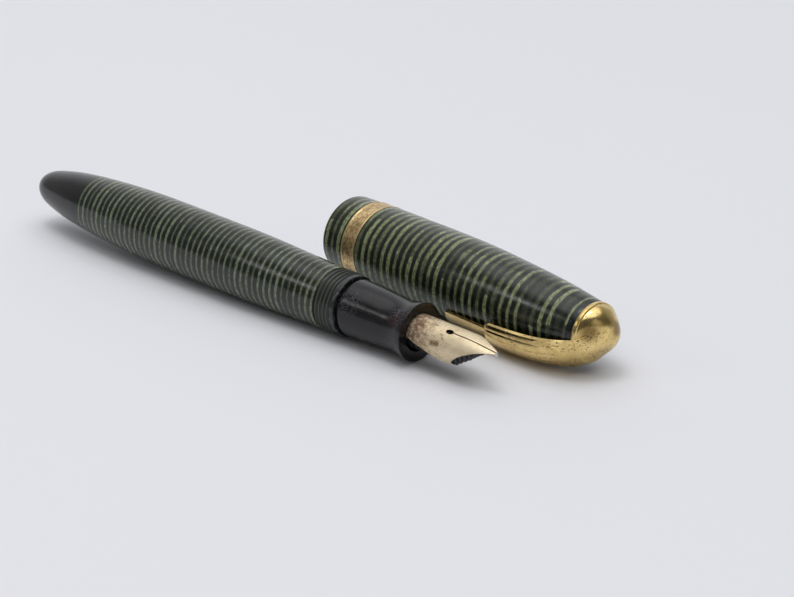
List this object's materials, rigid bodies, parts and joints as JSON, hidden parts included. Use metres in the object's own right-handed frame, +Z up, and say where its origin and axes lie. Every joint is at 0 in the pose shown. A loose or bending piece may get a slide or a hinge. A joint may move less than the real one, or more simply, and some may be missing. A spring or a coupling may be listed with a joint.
{
  "type": "fountain pen",
  "caption": "Button-filling fountain pen lying uncapped with its clip cap beside it, ringed black and green barrel, gold nib.",
  "frame": {"origin": "centre of the bounding box's bottom face, on the surface the pen lies on", "axes": "+Z up, +X along the pen towards the nib, +Y from the pen towards its cap"},
  "size_m": [0.1216, 0.0334, 0.0144],
  "materials": {
    "laminate": "polished laminate, black with thin dull-green rings",
    "black_resin": "polished black, lightly scuffed",
    "feed_resin": "dull black hard rubber with fine fins",
    "brass_fittings": "plain turned brass",
    "sac_rubber": "matt black rubber",
    "bar_steel": "rolled spring steel",
    "nib_gold": "pale gold, polished, stained at its base",
    "pellet_metal": "hard white metal, ground",
    "trim_gold": "gold plate worn by handling",
    "clip_gold": "gold plate, satin and pitted with wear"
  },
  "bodies": {
    "pen": {"barrel": "laminate", "tail_nipple": "black_resin", "section": "black_resin", "feed": "feed_resin", "nib": "nib_gold", "nib_pellet": "pellet_metal", "ink_sac": "sac_rubber"},
    "blind_cap": {"blind_cap": "black_resin"},
    "button": {"filler_button": "brass_fittings"},
    "bar": {"pressure_bar": "bar_steel", "bar_spring": "bar_steel", "bar_rivets": "bar_steel"},
    "cap": {"cap_tube": "laminate", "cap_band": "trim_gold", "inner_cap": "black_resin", "crown_bushing": "brass_fittings", "crown_screw": "brass_fittings", "crown_dome": "clip_gold"},
    "clip": {"clip_strap": "clip_gold", "clip_tongue": "clip_gold", "clip_rivets": "clip_gold"}
  },
  "joints": [
    {"name": "blind_cap_off", "type": "slide", "parent": "pen", "child": "blind_cap", "axis": [-0.9997, 0, 0.0227], "range_m": [0, 0.02]},
    {"name": "button_press", "type": "slide", "parent": "pen", "child": "button", "axis": [0.9997, 0, -0.0227], "range_m": [0, 0.004], "stiffness_N_per_m": 300},
    {"name": "bar_press", "type": "slide", "parent": "pen", "child": "bar", "axis": [-0.0227, 0, -0.9997], "range_m": [0, 0.002], "deforming": ["ink_sac", "bar_spring"]},
    {"name": "cap_off", "type": "slide", "parent": "pen", "child": "cap", "axis": [0.9957, -0.0929, 0], "range_m": [0, 0.05]},
    {"name": "clip_flex", "type": "hinge", "parent": "cap", "child": "clip", "pos_m": [0.06055, 0.0044, 0.00737], "axis": [-0.0585, -0.6266, 0.7771], "range_deg": [0, 2.5], "stiffness_Nm_per_rad": 1.5}
  ],
  "couplings": [
    {"joint": "bar_press", "follows": "button_press", "ratio": 0.5}
  ]
}
